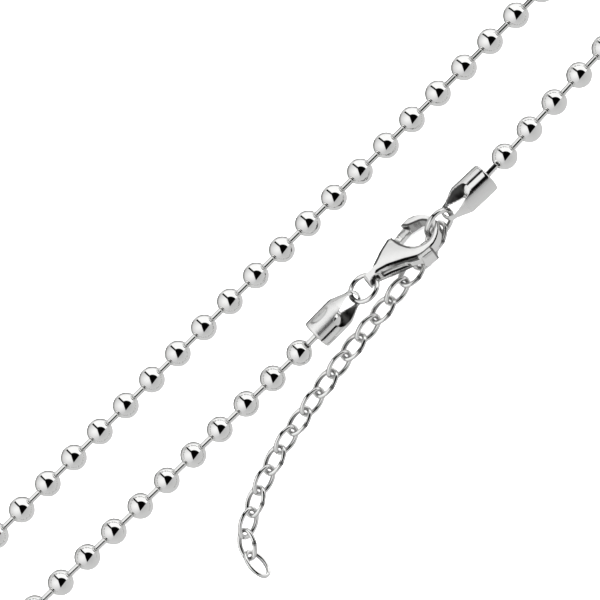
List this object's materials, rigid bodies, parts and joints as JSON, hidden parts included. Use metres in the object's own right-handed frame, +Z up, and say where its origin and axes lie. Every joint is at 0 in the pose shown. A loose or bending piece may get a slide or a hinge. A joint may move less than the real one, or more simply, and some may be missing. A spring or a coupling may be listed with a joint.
{
  "type": "ball chain necklace",
  "caption": "Silver ball chain necklace laid out flat, with folded end caps, jump rings, a lobster clasp with a sprung lever and a cable chain extender.",
  "frame": {"origin": "on the surface that the necklace lies on, at the middle of the laid out loop", "axes": "+X along the two long strands towards the extender's side of the clasp, +Y from the clasp's strand to the other one, +Z up"},
  "size_m": [0.1958, 0.043, 0.0049],
  "materials": {
    "polished_silver": "mirror polished silver sheet",
    "bright_wire": "bright drawn silver wire",
    "cast_silver": "cast and polished silver"
  },
  "bodies": {
    "necklace": {"chain_balls": "polished_silver", "chain_bars": "polished_silver", "end_cap_left": "polished_silver", "end_cap_right": "polished_silver", "clasp_ring": "bright_wire", "extender_ring": "bright_wire", "clasp_body": "cast_silver", "lever_pivot_pin": "cast_silver", "extender_link_01": "bright_wire", "extender_link_02": "bright_wire", "extender_link_03": "bright_wire", "extender_link_04": "bright_wire", "extender_link_05": "bright_wire", "extender_link_06": "bright_wire", "extender_link_07": "bright_wire", "extender_link_08": "bright_wire", "extender_link_09": "bright_wire", "extender_link_10": "bright_wire", "extender_link_11": "bright_wire", "extender_link_12": "bright_wire", "extender_link_13": "bright_wire", "extender_link_14": "bright_wire", "extender_link_15": "bright_wire", "extender_link_16": "bright_wire", "extender_link_17": "bright_wire", "extender_link_18": "bright_wire"},
    "lever": {"clasp_lever": "cast_silver"}
  },
  "joints": [
    {"name": "lever_pivot", "type": "hinge", "parent": "necklace", "child": "lever", "pos_m": [0.01221, -0.00517, 0.00238], "axis": [0.0689, 0.5694, 0.8192], "range_deg": [-25, 0], "stiffness_Nm_per_rad": 0.006, "springref_deg": 14.32}
  ]
}
